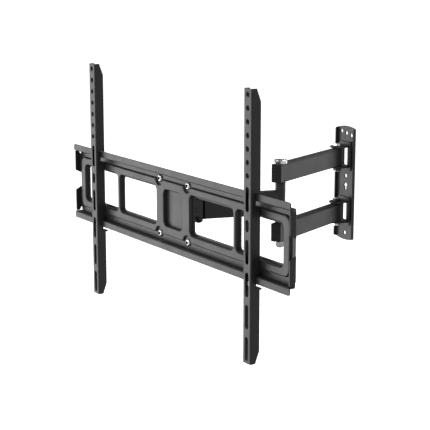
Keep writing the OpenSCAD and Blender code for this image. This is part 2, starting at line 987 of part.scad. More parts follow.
wall_plate();
upper_clevis();
lower_clevis();
upper_pivot_bolt();
lower_pivot_bolt();
upper_pivot_nut();
lower_pivot_nut();
wall_pivot_washers();
upper_arm();
lower_arm();
upper_arm_bushes();
lower_arm_bushes();
upper_arm_end_cap();
lower_arm_end_cap();
upper_elbow_sleeve();
lower_elbow_sleeve();
elbow_bolt();
elbow_nut();
elbow_washers();
elbow_tube();
elbow_bushes();
front_arm();
head_bolt();
head_nut();
head_washers();
head_post();
head_bushes();
head_bracket();
tilt_tube();
tilt_bracket();
tilt_bolt();
tilt_nut();
tilt_washers();
tv_plate();
plate_bolts();
plate_nuts();
plate_spacers();
left_rail();
right_rail();
left_lock_bracket();
right_lock_bracket();
left_lock_screw();
right_lock_screw();
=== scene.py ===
import json
import math
import bpy
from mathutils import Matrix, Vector


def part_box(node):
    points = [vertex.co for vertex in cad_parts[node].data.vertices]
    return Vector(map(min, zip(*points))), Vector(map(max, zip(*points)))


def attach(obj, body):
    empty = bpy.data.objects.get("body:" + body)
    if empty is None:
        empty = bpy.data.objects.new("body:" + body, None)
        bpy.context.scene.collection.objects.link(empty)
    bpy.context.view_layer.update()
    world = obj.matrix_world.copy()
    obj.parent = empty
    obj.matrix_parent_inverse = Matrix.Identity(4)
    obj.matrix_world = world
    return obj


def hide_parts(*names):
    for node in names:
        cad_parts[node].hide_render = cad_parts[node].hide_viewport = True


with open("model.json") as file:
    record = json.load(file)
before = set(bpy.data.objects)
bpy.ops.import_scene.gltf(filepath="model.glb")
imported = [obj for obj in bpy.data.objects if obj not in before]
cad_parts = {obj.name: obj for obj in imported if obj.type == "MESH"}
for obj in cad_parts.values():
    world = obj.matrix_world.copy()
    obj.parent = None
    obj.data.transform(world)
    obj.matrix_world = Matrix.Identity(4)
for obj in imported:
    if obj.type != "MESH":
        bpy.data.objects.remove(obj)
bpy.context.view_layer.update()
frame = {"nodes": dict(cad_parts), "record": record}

nodes = frame["nodes"]
mm = 0.001
quarter = math.pi / 2
third = 2 * math.pi / 3  # of a full turn
touch = 0.01 * mm  # places nearer than this are the same
bite = 0.5 * mm  # how far welded pieces reach into each other
shy = 0.05 * mm  # a full round end stops this short of half the width
clear = 5 * mm  # how far a cutter stands out of what it cuts


# small helpers for working on one piece at a time

def makeActive(piece):
    bpy.ops.object.select_all(action="DESELECT")
    piece.select_set(True)
    bpy.context.view_layer.objects.active = piece


def named(name):
    piece = bpy.context.object
    piece.name = name
    piece.data.name = name
    return piece


def settle(piece):
    makeActive(piece)
    bpy.ops.object.transform_apply(location=True, rotation=True, scale=True)
    return piece


def addBox(name, low, high):
    bpy.ops.object.select_all(action="DESELECT")
    low, high = Vector(low), Vector(high)
    bpy.ops.mesh.primitive_cube_add(size=1, location=(low + high) / 2)
    piece = named(name)
    piece.scale = high - low
    return settle(piece)


def addRod(name, radius, start, end, sides=48):
    bpy.ops.object.select_all(action="DESELECT")
    start, end = Vector(start), Vector(end)
    bpy.ops.mesh.primitive_cylinder_add(vertices=sides, radius=radius, depth=(end - start).length,
                                        location=(start + end) / 2)
    piece = named(name)
    piece.rotation_mode = "QUATERNION"
    piece.rotation_quaternion = (end - start).to_track_quat("Z", "Y")
    return settle(piece)


def addSheet(name, centre, width, height):  # a flat face that looks towards -Y
    bpy.ops.object.select_all(action="DESELECT")
    bpy.ops.mesh.primitive_plane_add(size=1, location=centre, rotation=(quarter, 0, 0))
    piece = named(name)
    piece.scale = (width, height, 1)
    return settle(piece)


def pickNothing(piece):
    makeActive(piece)
    for part in (piece.data.polygons, piece.data.edges, piece.data.vertices):
        part.foreach_set("select", [False] * len(part))


def editPicked(kind):
    bpy.context.tool_settings.mesh_select_mode = (kind == "VERT", kind == "EDGE", kind == "FACE")
    bpy.ops.object.mode_set(mode="EDIT")


def editDone():
    bpy.ops.object.mode_set(mode="OBJECT")


def pickEdges(piece, wanted):
    pickNothing(piece)
    corners = piece.data.vertices
    for edge in piece.data.edges:
        edge.select = bool(wanted(corners[edge.vertices[0]].co, corners[edge.vertices[1]].co))
    editPicked("EDGE")


def pickCorners(piece, wanted):
    pickNothing(piece)
    for corner in piece.data.vertices:
        corner.select = bool(wanted(corner.co))
    editPicked("VERT")


def pickFaces(piece, wanted):
    pickNothing(piece)
    for face in piece.data.polygons:
        face.select = bool(wanted(face.center, face.normal))
    editPicked("FACE")


def roundEdges(piece, wanted, radius, segments):
    pickEdges(piece, wanted)
    bpy.ops.mesh.bevel(offset=radius, segments=segments, affect="EDGES", clamp_overlap=False)
    editDone()


def roundCorners(piece, wanted, radius, segments):
    pickCorners(piece, wanted)
    bpy.ops.mesh.bevel(offset=radius, segments=segments, affect="VERTICES", clamp_overlap=False)
    editDone()


def dropFaces(piece, wanted):
    pickFaces(piece, wanted)
    bpy.ops.mesh.delete(type="FACE")
    editDone()


def joinAll(pieces, name):
    bpy.ops.object.select_all(action="DESELECT")
    for piece in pieces:
        piece.select_set(True)
    bpy.context.view_layer.objects.active = pieces[0]
    if len(pieces) > 1:
        bpy.ops.object.join()
    return named(name)


def applyNew(piece, kind, **settings):
    makeActive(piece)
    modifier = piece.modifiers.new(kind.title(), kind)
    for key, value in settings.items():
        setattr(modifier, key, value)
    bpy.ops.object.modifier_apply(modifier=modifier.name)


def cutAway(piece, cutters):
    cutter = joinAll(cutters, "cutter")
    applyNew(piece, "BOOLEAN", operation="DIFFERENCE", solver="EXACT", object=cutter)
    bpy.data.objects.remove(cutter)


def weldOn(piece, other):
    applyNew(piece, "BOOLEAN", operation="UNION", solver="EXACT", object=other)
    bpy.data.objects.remove(other)


def thicken(piece, amount):
    applyNew(piece, "SOLIDIFY", thickness=amount, offset=-1, use_even_offset=True)


def extrudeBy(x, y, z):
    bpy.ops.mesh.extrude_region_move(TRANSFORM_OT_translate={"value": (x, y, z)})


def makeOutward(piece):
    makeActive(piece)
    bpy.ops.object.mode_set(mode="EDIT")
    bpy.ops.mesh.select_all(action="SELECT")
    bpy.ops.mesh.remove_doubles(threshold=touch)
    bpy.ops.mesh.normals_make_consistent(inside=False)
    editDone()


def softenRims(piece, width=0.3 * mm, segments=2, sharper=38):
    applyNew(piece, "BEVEL", width=width, segments=segments, limit_method="ANGLE",
             angle_limit=math.radians(sharper), use_clamp_overlap=False, harden_normals=False)


def smoothShade(piece, angle=32):
    makeActive(piece)
    bpy.ops.object.shade_smooth_by_angle(angle=math.radians(angle))
    applyNew(piece, "WEIGHTED_NORMAL", keep_sharp=True, weight=100)


def copyOf(piece, name, shift=(0, 0, 0)):
    makeActive(piece)
    bpy.ops.object.duplicate(linked=False)
    twin = named(name)
    twin.location = shift
    return settle(twin)


def finishPiece(piece, body, slotName, material, *replaced):
    piece.data.materials.clear()
    piece.data.materials.append(material)
    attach(piece, body)
    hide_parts(*replaced)
    return piece


def slotCutter(x, z, length, width, low, high):  # an upright slot with round ends
    cutter = addRod("slotCutter", width / 2, (x, low, z), (x, high, z), 32)
    pickCorners(cutter, lambda c: c.z > z + touch)
    bpy.ops.transform.translate(value=(0, 0, (length - width) / 2))
    editDone()
    pickCorners(cutter, lambda c: c.z < z - touch)
    bpy.ops.transform.translate(value=(0, 0, (width - length) / 2))
    editDone()
    return cutter


# finishes

def newFinish(name):
    material = bpy.data.materials.new(name)
    material.use_nodes = True
    tree = material.node_tree
    tree.nodes.clear()
    out = tree.nodes.new("ShaderNodeOutputMaterial")
    shader = tree.nodes.new("ShaderNodeBsdfPrincipled")
    tree.links.new(shader.outputs["BSDF"], out.inputs["Surface"])
    place = tree.nodes.new("ShaderNodeTexCoord")
    return material, tree, shader, place.outputs["Object"]


def addNoise(tree, place, scale, detail, roughness=0.5, stretch=None):
    if stretch:
        mapping = tree.nodes.new("ShaderNodeMapping")
        mapping.inputs["Scale"].default_value = stretch
        tree.links.new(place, mapping.inputs["Vector"])
        place = mapping.outputs["Vector"]
    noise = tree.nodes.new("ShaderNodeTexNoise")
    noise.inputs["Scale"].default_value = scale
    noise.inputs["Detail"].default_value = detail
    noise.inputs["Roughness"].default_value = roughness
    tree.links.new(place, noise.inputs["Vector"])
    return noise.outputs["Fac"]


def addRange(tree, value, low, high, start=0.3, end=0.7):
    spread = tree.nodes.new("ShaderNodeMapRange")
    spread.inputs["From Min"].default_value = start
    spread.inputs["From Max"].default_value = end
    spread.inputs["To Min"].default_value = low
    spread.inputs["To Max"].default_value = high
    tree.links.new(value, spread.inputs["Value"])
    return spread.outputs["Result"]


def addRamp(tree, value, stops):
    ramp = tree.nodes.new("ShaderNodeValToRGB")
    ramp.color_ramp.elements[0].position = stops[0][0]
    ramp.color_ramp.elements[0].color = (*stops[0][1], 1)
    ramp.color_ramp.elements[1].position = stops[-1][0]
    ramp.color_ramp.elements[1].color = (*stops[-1][1], 1)
    for at, colour in stops[1:-1]:
        ramp.color_ramp.elements.new(at).color = (*colour, 1)
    tree.links.new(value, ramp.inputs["Fac"])
    return ramp.outputs["Color"]


def addBump(tree, shader, heights, distance):
    normal = None
    for height, strength in heights:
        bump = tree.nodes.new("ShaderNodeBump")
        bump.inputs["Strength"].default_value = strength
        bump.inputs["Distance"].default_value = distance
        tree.links.new(height, bump.inputs["Height"])
        if normal:
            tree.links.new(normal, bump.inputs["Normal"])
        normal = bump.outputs["Normal"]
    tree.links.new(normal, shader.inputs["Normal"])


# each noise is its scale and detail, then its roughness where that differs from a half
powder = {"dark": (0.028, 0.029, 0.031), "light": (0.042, 0.043, 0.046), "glint": 1.35,
          "cloud": (38, 5), "peel": (1100, 3, 0.55), "grit": (4200, 2), "peelHeight": 0.55,
          "gritHeight": 0.3, "bump": 0.05 * mm, "rough": (0.43, 0.48)}


def powderCoat(name):
    material, tree, shader, place = newFinish(name)
    cloud = addNoise(tree, place, *powder["cloud"])
    peel = addNoise(tree, place, *powder["peel"])
    grit = addNoise(tree, place, *powder["grit"])
    # the coat's tone changes at random along the orange-peel noise, and its highest points carry a painted
    # glint: a colour brighter than the coat's own light tone
    glint = tuple(c * powder["glint"] for c in powder["light"])
    peelToneAndGlint = addRamp(tree, peel, [(0.3, powder["dark"]), (0.62, powder["light"]), (0.8, glint)])
    tree.links.new(peelToneAndGlint, shader.inputs["Base Color"])
    tree.links.new(addRange(tree, cloud, *powder["rough"]), shader.inputs["Roughness"])
    addBump(tree, shader, [(peel, powder["peelHeight"]), (grit, powder["gritHeight"])], powder["bump"])
    return material


plating = {"cloud": (160, 4), "lines": (900, 3, 0.6), "stretch": (1, 1, 9), "bump": 0.01 * mm}


def platedMetal(name, dark, light, rough, scratch, metal=1.0):
    material, tree, shader, place = newFinish(name)
    cloud = addNoise(tree, place, *plating["cloud"])
    lines = addNoise(tree, place, *plating["lines"], plating["stretch"])
    tree.links.new(addRamp(tree, cloud, [(0.3, dark), (0.7, light)]), shader.inputs["Base Color"])
    tree.links.new(addRange(tree, lines, *rough), shader.inputs["Roughness"])
    addBump(tree, shader, [(lines, scratch)], plating["bump"])
    shader.inputs["Metallic"].default_value = metal
    return material


moulding = {"cloud": (90, 3), "grain": (2600, 3, 0.6), "grainHeight": 0.4, "bump": 0.03 * mm}


def mouldedPlastic(name, dark, light, rough):
    material, tree, shader, place = newFinish(name)
    grain = addNoise(tree, place, *moulding["grain"])
    cloud = addNoise(tree, place, *moulding["cloud"])
    tree.links.new(addRamp(tree, cloud, [(0.3, dark), (0.7, light)]), shader.inputs["Base Color"])
    tree.links.new(addRange(tree, grain, *rough), shader.inputs["Roughness"])
    addBump(tree, shader, [(grain, moulding["grainHeight"])], moulding["bump"])
    return material


blackCoat = powderCoat("blackPowderCoat")
chromePlate = platedMetal("chromePlate", (0.72, 0.73, 0.75), (0.86, 0.87, 0.88), (0.1, 0.16), 0.06, 0.85)
zincPlate = platedMetal("zincPlate", (0.50, 0.50, 0.49), (0.68, 0.68, 0.67), (0.28, 0.42), 0.4)
blackOxide = platedMetal("blackOxide", (0.030, 0.030, 0.032), (0.065, 0.065, 0.07), (0.32, 0.5), 0.4)
nylon = mouldedPlastic("blackNylon", (0.028, 0.028, 0.029), (0.05, 0.05, 0.052), (0.45, 0.6))
capPlastic = mouldedPlastic("capPlastic", (0.006, 0.006, 0.0065), (0.011, 0.011, 0.012), (0.55, 0.7))
finishOf = {"powder_coated_steel": blackCoat, "chrome_plate": chromePlate, "zinc_plate": zincPlate,
            "black_oxide_steel": blackOxide, "nylon": nylon, "end_cap_plastic": capPlastic}
print("finishes ready")


# TV plate: one pressed sheet with lips, frame, four windows and a pocket

plate = {"sheet": 2.2 * mm, "depth": 12.5 * mm, "rise": 4 * mm, "tight": 0.8 * mm, "wide": 2.6 * mm,
         "tightTurns": 3, "wideTurns": 5, "lipHeight": 10.2 * mm, "lipGap": 12.9 * mm, "lipIn": mm,
         "lipCorner": 4 * mm, "endGap": 11.5 * mm, "frameEnd": 16.5 * mm, "frameEdge": 13.4 * mm,
         "frameCorner": 14 * mm, "innerWindow": 127 * mm, "windowBar": 8 * mm, "windowCorner": 9 * mm,
         "ledge": 3.4 * mm, "pocket": 58 * mm, "pocketBar": 24.5 * mm, "pocketEdge": 16.2 * mm,
         "boltAcross": 89 * mm, "boltOut": 0.5 * mm, "scallop": 11 * mm, "scallopTip": 3 * mm,
         "tipRoom": 3.6 * mm, "flangeTop": 15.5 * mm, "flangeLow": -12 * mm, "flangeCut": 6 * mm,
         "flangeLean": 6 * mm, "flangeBack": 1.5 * mm, "flangeCorner": 1.5 * mm}
plateLow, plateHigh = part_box("tv_plate")
plateX = (plateLow.x + plateHigh.x) / 2
plateHalf = (plateHigh.x - plateLow.x) / 2
lipY = plateLow.y
baseY = lipY + plate["depth"]
frameY = baseY - plate["rise"]
ledgeY = plateHigh.y - plate["sheet"]
lipZ = plateHigh.z - plate["lipHeight"]
frameHalfX = plateHalf - plate["endGap"]
frameHalfZ = lipZ - plate["lipGap"]
windowHigh = 2 * (frameHalfZ - plate["frameEdge"])
boltZ = frameHalfZ + plate["boltOut"]
boltX = plate["boltAcross"] / 2
sheetHalfX = plateHalf - plate["lipIn"] - plate["sheet"] - plate["tight"]  # the flat back sheet
sheetHalfZ = lipZ - plate["sheet"] - plate["tight"]
flangeFar = sheetHalfZ - plate["flangeCut"]


def arcSteps(radius, turns, startFlat):
    # (drawn in, moved) for each step of a quarter bend; startFlat bends out of the sheet's plane
    steps = []
    for i in range(turns):
        a, b = quarter * i / turns, quarter * (i + 1) / turns
        flat = radius * (math.sin(b) - math.sin(a))
        deep = radius * (math.cos(a) - math.cos(b))
        steps.append((flat, deep) if startFlat else (deep, flat))
    return steps


def pressIn(steps, forward):
    # draws the picked face in and moves it, step by step
    for drawn, moved in steps:
        if drawn > 0:
            bpy.ops.mesh.inset(thickness=drawn, use_even_offset=True)
        else:
            bpy.ops.mesh.extrude_region()
        bpy.ops.transform.translate(value=(0, -moved * forward, 0))


def tightSteps(startFlat):
    return arcSteps(plate["tight"], plate["tightTurns"], startFlat)


def wideSteps(startFlat):
    return arcSteps(plate["wide"], plate["wideTurns"], startFlat)


def pressedWindow(name, x, width, height, opened):
    grow = plate["wide"]
    sheet = addSheet(name, (plateX + x, frameY, 0), width + 2 * grow, height + 2 * grow)
    roundCorners(sheet, lambda c: True, plate["windowCorner"] + grow, 10)
    pickFaces(sheet, lambda centre, normal: True)
    pressIn(wideSteps(True), -1)
    pressIn([(0, ledgeY - frameY - plate["wide"] - plate["tight"])], -1)
    pressIn(tightSteps(False), -1)
    if opened:
        pressIn([(plate["ledge"] - plate["tight"], 0)], -1)
        bpy.ops.mesh.delete(type="FACE")
    editDone()
    return sheet


def pressedWindows():
    start = plate["pocket"] / 2 + plate["pocketBar"]
    outer = start + plate["innerWindow"] + plate["windowBar"]
    outerWide = frameHalfX - plate["frameEnd"] - outer
    windows = []
    for side in (-1, 1):
        windows.append(pressedWindow("window", side * (start + plate["innerWindow"] / 2),
                                     plate["innerWindow"], windowHigh, True))
        windows.append(pressedWindow("window", side * (outer + outerWide / 2), outerWide, windowHigh, True))
    pocketHigh = 2 * (frameHalfZ - plate["pocketEdge"])
    windows.append(pressedWindow("pocket", 0, plate["pocket"], pocketHigh, False))
    return windows


def pressedFrame():  # the raised frame's rim, with a scallop round each plate bolt
    grow = plate["tight"]
    slabBack = baseY + 5 * mm
    slab = addBox("frameSlab", (plateX - frameHalfX - grow, baseY, -frameHalfZ - grow),
                  (plateX + frameHalfX + grow, slabBack, frameHalfZ + grow))
    roundEdges(slab, lambda a, b: abs(a.y - b.y) > mm, plate["frameCorner"] + grow, 12)
    cutAway(slab, [addRod("scallop", plate["scallop"] - grow,
                          (plateX + sx * boltX, baseY - clear, sz * boltZ),
                          (plateX + sx * boltX, slabBack + clear, sz * boltZ), 56)
                   for sx in (-1, 1) for sz in (-1, 1)])
    dropFaces(slab, lambda centre, normal: normal.y > -0.9)
    edge = frameHalfZ + grow - 2 * touch

    def atScallop(c):
        return abs(c.z) > edge and abs(abs(c.x - plateX) - boltX) < plate["scallop"]

    # the rim is thinned beside each scallop's tips, so that they can be rounded
    tips = [v.co.copy() for v in slab.data.vertices if atScallop(v.co)]
    pickCorners(slab, lambda c: not atScallop(c)
                and any((c - tip).length < plate["tipRoom"] for tip in tips))
    bpy.ops.mesh.dissolve_verts()
    editDone()
    roundCorners(slab, atScallop, plate["scallopTip"], 5)
    pickFaces(slab, lambda centre, normal: True)
    pressIn(tightSteps(True), 1)
    pressIn([(0, plate["rise"] - plate["tight"] - plate["wide"])], 1)
    pressIn(wideSteps(False), 1)
    bpy.ops.mesh.delete(type="FACE")
    editDone()
    return slab


def stretchEdge(grow):
    bpy.ops.transform.resize(value=(grow, 1, 1), center_override=(plateX, baseY, 0))


def foldLip(base, side):  # the long edge turns forward, then out into the lip
    pickEdges(base, lambda a, b: a.z * side > sheetHalfZ - touch and b.z * side > sheetHalfZ - touch)
    wallHalfX = plateHalf - plate["lipIn"]
    for drawn, moved in tightSteps(True):
        extrudeBy(0, -moved, drawn * side)
    stretchEdge(wallHalfX / sheetHalfX)
    extrudeBy(0, plate["tight"] + plate["wide"] - plate["depth"], 0)
    for drawn, moved in wideSteps(False):
        extrudeBy(0, -moved, drawn * side)
    stretchEdge(plateHalf / wallHalfX)
    extrudeBy(0, 0, (plateHigh.z - lipZ + plate["sheet"] - plate["wide"]) * side)
    editDone()


def foldEndFlange(base, side, low, high):  # flares to its knee, then leans back to its tip
    inner, outer = (low, high) if low > 0 else (high, low)
    up = math.copysign(1, inner)
    bent = baseY - plate["tight"]
    knee = baseY - plate["flangeCut"] + plate["sheet"]
    tip = lipY + plate["flangeBack"]
    lean = plate["flangeLean"] / (baseY - tip)

    def onEnd(c):
        return (abs(c.x - plateX - side * sheetHalfX) < 5 * touch and abs(c.y - baseY) < touch
                and low - touch < c.z < high + touch)

    def onFlange(c, level):
        return abs(c.y - level) < touch and c.z * up > 0 and (c.x - plateX) * side > sheetHalfX

    pickEdges(base, lambda a, b: onEnd(a) and onEnd(b))
    for drawn, moved in tightSteps(True):
        extrudeBy(drawn * side, -moved, 0)
    for start, end, widen in ((bent, knee, plate["flangeCut"]), (knee, tip, 0)):
        if start == knee:
            pickEdges(base, lambda a, b: onFlange(a, knee) and onFlange(b, knee) and abs(a.z - b.z) > mm)
        extrudeBy(0, end - start, 0)
        editDone()
        step = lean * (start - end)
        for corner in base.data.vertices:
            if onFlange(corner.co, end):
                if abs(corner.co.z - inner) < touch:
                    corner.co.z += up * step
                elif abs(corner.co.z - outer) < touch:
                    corner.co.z += up * widen
        inner, outer = inner + up * step, outer + up * widen
    roundCorners(base, lambda c: onFlange(c, tip) and abs(c.z - outer) < touch, plate["flangeCorner"], 4)


def foldedBase():  # the back sheet's folded edges: two lips and two flanges at each end
    base = addSheet("base", (plateX, baseY, 0), 2 * sheetHalfX, 2 * sheetHalfZ)
    for cut in (flangeFar, plate["flangeTop"], plate["flangeLow"], -flangeFar):
        pickFaces(base, lambda centre, normal: True)
        bpy.ops.mesh.bisect(plane_co=(0, baseY, cut), plane_no=(0, 0, 1))
        editDone()
    for side in (-1, 1):
        foldLip(base, side)
    roundCorners(base, lambda c: abs(c.z) > plateHigh.z - touch, plate["lipCorner"], 6)
    for side in (-1, 1):
        foldEndFlange(base, side, plate["flangeTop"], flangeFar)
        foldEndFlange(base, side, -flangeFar, plate["flangeLow"])
    pickFaces(base, lambda centre, normal: abs(centre.y - baseY) < touch)
    bpy.ops.mesh.delete(type="ONLY_FACE")
    editDone()
    pickEdges(base, lambda a, b: abs(a.z) < flangeFar + mm and abs(b.x - a.x) > plateHalf)
    bpy.ops.mesh.delete(type="EDGE")
    editDone()
    return base


def fillFlat(piece, level):  # closes the sheet between the outlines that lie at this depth
    count = {}
    for face in piece.data.polygons:
        for key in face.edge_keys:
            count[key] = count.get(key, 0) + 1
    pickNothing(piece)
    for edge in piece.data.edges:
        flat = all(abs(piece.data.vertices[v].co.y - level) < touch / 2 for v in edge.vertices)
        edge.select = flat and count.get(edge.key, 0) <= 1
    editPicked("EDGE")
    bpy.ops.mesh.fill(use_beauty=True)
    editDone()


def buildTvPlate():
    whole = joinAll([pressedFrame(), *pressedWindows(), foldedBase()], "tvPlate")
    fillFlat(whole, frameY)
    fillFlat(whole, baseY)
    makeOutward(whole)
    largest = max(whole.data.polygons, key=lambda face: face.area)
    if largest.normal.y > 0:
        makeActive(whole)
        bpy.ops.object.mode_set(mode="EDIT")
        bpy.ops.mesh.select_all(action="SELECT")
        bpy.ops.mesh.flip_normals()
        editDone()
    thicken(whole, plate["sheet"])
    softenRims(whole, 0.3 * mm, 2, 50)
    smoothShade(whole)
    return finishPiece(whole, "panel", "powder_coated_steel", blackCoat, "tv_plate")


tvPlate = buildTvPlate()
print("TV plate", len(tvPlate.data.polygons))

# the head's profile is in (radius, height), as parts of its full size
plateBolt = {"radius": 6.3 * mm, "height": 3.3 * mm, "socket": 3.5 * mm, "socketDeep": 2.9 * mm,
             "shank": 3 * mm, "length": 13 * mm,
             "profile": ((0.97, 0), (1, 0.05), (1, 0.3), (0.97, 0.5), (0.88, 0.74), (0.74, 0.91), (0.56, 1))}


def turned(name, rings, sides=64):  # stacked rings of (radius, height) that stand on the origin
    bpy.ops.object.select_all(action="DESELECT")
    bpy.ops.mesh.primitive_circle_add(vertices=sides, radius=rings[0][0], fill_type="NGON",
                                      location=(0, 0, rings[0][1]))
    piece = settle(named(name))
    pickFaces(piece, lambda centre, normal: True)
    for (lastRadius, lastHeight), (radius, height) in zip(rings, rings[1:]):
        extrudeBy(0, 0, height - lastHeight)
        grow = radius / lastRadius
        bpy.ops.transform.resize(value=(grow, grow, 1), center_override=(0, 0, height))
    editDone()
    makeOutward(piece)
    return piece


def buildPlateBolts():
    r, h = plateBolt["radius"], plateBolt["height"]
    head = turned("plateBolt", [(r * wide, h * up) for wide, up in plateBolt["profile"]], 40)
    socketFoot = h - plateBolt["socketDeep"]
    cutAway(head, [addRod("socket", plateBolt["socket"], (0, 0, socketFoot), (0, 0, 2 * h), 6)])
    weldOn(head, addRod("shank", plateBolt["shank"], (0, 0, -plateBolt["length"]), (0, 0, bite), 24))
    softenRims(head, 0.2 * mm, 2, 45)
    head.rotation_euler = (quarter, 0, 0)
    settle(head)
    bolts = [copyOf(head, "boltCopy", (plateX + sx * boltX, baseY, sz * boltZ))
             for sx in (-1, 1) for sz in (-1, 1)]
    bpy.data.objects.remove(head)
    whole = joinAll(bolts, "plateBolts")
    smoothShade(whole)
    finishPiece(whole, "panel", "chrome_plate", chromePlate, "plate_bolts")


buildPlateBolts()
print("plate bolts")


# rails: folded channels that hook over the lips

rail = {"sheet": 1.8 * mm, "bend": 2.3 * mm, "hole": 8.5 * mm, "pitch": 20.6 * mm, "holes": 7,
        "topHole": 9 * mm, "lowSlot": 23.7 * mm, "slot": 39 * mm, "slotPitch": 51.6 * mm, "lowSlots": 4,
        "midStep": 82.5 * mm, "oval": 19 * mm, "endCut": 20 * mm, "endDepth": 9.8 * mm,
        "gap": 0.4 * mm, "hookOver": 0.8 * mm, "lockGap": 1.6 * mm, "faceCut": 6 * mm}


def buildRail():
    low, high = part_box("left_rail")
    x = (low.x + high.x) / 2
    channel = addBox("leftRail", low, high)
    dropFaces(channel, lambda centre, normal: normal.y > 0.9 or abs(normal.z) > 0.9)
    roundEdges(channel, lambda a, b: abs(a.z - b.z) > mm and a.y < low.y + mm and b.y < low.y + mm,
               rail["bend"], 6)
    for end, side in ((high.z, 1), (low.z, -1)):
        pickFaces(channel, lambda centre, normal: True)
        slope = Vector((0, rail["endCut"], side * (high.y - low.y - rail["endDepth"])))
        bpy.ops.mesh.bisect(plane_co=(x, low.y + rail["endDepth"], end), plane_no=slope.normalized(),
                            clear_outer=True)
        editDone()
    thicken(channel, rail["sheet"])

    front, back = low.y - clear, low.y + rail["faceCut"]
    cutters = [slotCutter(x, high.z - rail["topHole"] - i * rail["pitch"], rail["hole"] + 2 * touch,
                          rail["hole"], front, back) for i in range(rail["holes"])]
    slotZ = low.z + rail["lowSlot"]
    cutters += [slotCutter(x, slotZ + i * rail["slotPitch"], rail["slot"], rail["hole"], front, back)
                for i in range(rail["lowSlots"])]
    midZ = slotZ + (rail["lowSlots"] - 1) * rail["slotPitch"] + rail["midStep"]
    cutters.append(slotCutter(x, midZ, rail["slot"], rail["hole"], front, back))
    cutters.append(slotCutter(x, midZ - rail["midStep"] / 2, rail["oval"], rail["hole"], front, back))
    cutAway(channel, cutters)

    hookY = lipY - rail["gap"]
    notch = plate["lipHeight"] + plate["sheet"] + rail["hookOver"]
    notchZ = lipZ + rail["gap"] - notch
    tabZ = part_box("left_lock_bracket")[1].z + rail["lockGap"]
    left, right = low.x - clear, high.x + clear
    cutAway(channel, [addBox("notch", (left, hookY, notchZ), (right, high.y + mm, notchZ + notch))])
    cutAway(channel, [addBox("hook", (left, hookY, notchZ),
                             (right, hookY + plate["sheet"] + 2 * rail["gap"],
                              notchZ + notch + plate["lipHeight"]))])
    cutAway(channel, [addBox("lowNotch", (left, hookY, tabZ),
                             (right, high.y + mm, rail["gap"] + plate["sheet"] - lipZ))])
    softenRims(channel, 0.3 * mm, 2, 45)
    return channel


leftRail = buildRail()
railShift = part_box("right_rail")[0].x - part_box("left_rail")[0].x
rightRail = copyOf(leftRail, "rightRail", (railShift, 0, 0))
for one, body, node in ((leftRail, "rail_left", "left_rail"), (rightRail, "rail_right", "right_rail")):
    smoothShade(one)
    finishPiece(one, body, "powder_coated_steel", blackCoat, node)
print("rails", len(leftRail.data.polygons))


lockTab = {"corner": 3 * mm, "bore": 2.55 * mm}


def buildLockTab(node, body, name):
    low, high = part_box(node)
    tab = addBox(name, low, high)
    roundEdges(tab, lambda a, b: abs(a.z - b.z) > mm and a.y > high.y - mm, lockTab["corner"], 6)
    screwLow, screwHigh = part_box(node.replace("bracket", "screw"))
    x, y = (screwLow.x + screwHigh.x) / 2, (screwLow.y + screwHigh.y) / 2
    cutAway(tab, [addRod("bore", lockTab["bore"], (x, y, low.z - mm), (x, y, high.z + mm), 32)])
    softenRims(tab, 0.3 * mm, 2, 45)
    smoothShade(tab)
    finishPiece(tab, body, "powder_coated_steel", blackCoat, node)


buildLockTab("left_lock_bracket", "rail_left", "leftLockTab")
buildLockTab("right_lock_bracket", "rail_right", "rightLockTab")


# wall plate and its two clevises

wall = {"sheet": 2.5 * mm, "bend": 3 * mm, "sideTop": 105 * mm, "hole": 7 * mm, "step": 14 * mm,
        "drop": 3 * mm, "edge": 9.5 * mm, "midHole": 14.4 * mm, "window": 14 * mm, "windowHigh": 34.3 * mm,
        "windowCorner": 2 * mm, "flangeCorner": 4 * mm, "archCuts": 19}
arrow = {"z": -4.5 * mm, "head": 6.4 * mm, "headHigh": 5.6 * mm, "headUp": 2.6 * mm, "tail": 2.4 * mm,
         "tailLow": 7.5 * mm, "tailTop": 1 * mm}


def roundedPrism(name, low, high, radius):  # a block along Y with rounded upright corners
    block = addBox(name, low, high)
    roundEdges(block, lambda a, b: abs(a.y - b.y) > 0.5 * (high[1] - low[1]), radius, 6)
    return block


def arrowHead(front, back):  # a flat triangle that points straight up
    headZ = arrow["z"] + arrow["headUp"]
    head = addRod("arrowHead", arrow["head"], (0, front, headZ), (0, back, headZ), 3)
    for corner in head.data.vertices:
        turn = math.atan2(corner.co.z - headZ, corner.co.x)
        turn = round((turn - quarter) / third) * third + quarter
        corner.co.x = arrow["head"] * math.cos(turn)
        corner.co.z = headZ + arrow["headHigh"] * math.sin(turn)
    return head


def clevisWindow(z, front, back):
    halfWide, halfHigh = wall["window"] / 2, wall["windowHigh"] / 2
    return roundedPrism("window", (-halfWide, front, z - halfHigh), (halfWide, back, z + halfHigh),
                        wall["windowCorner"])


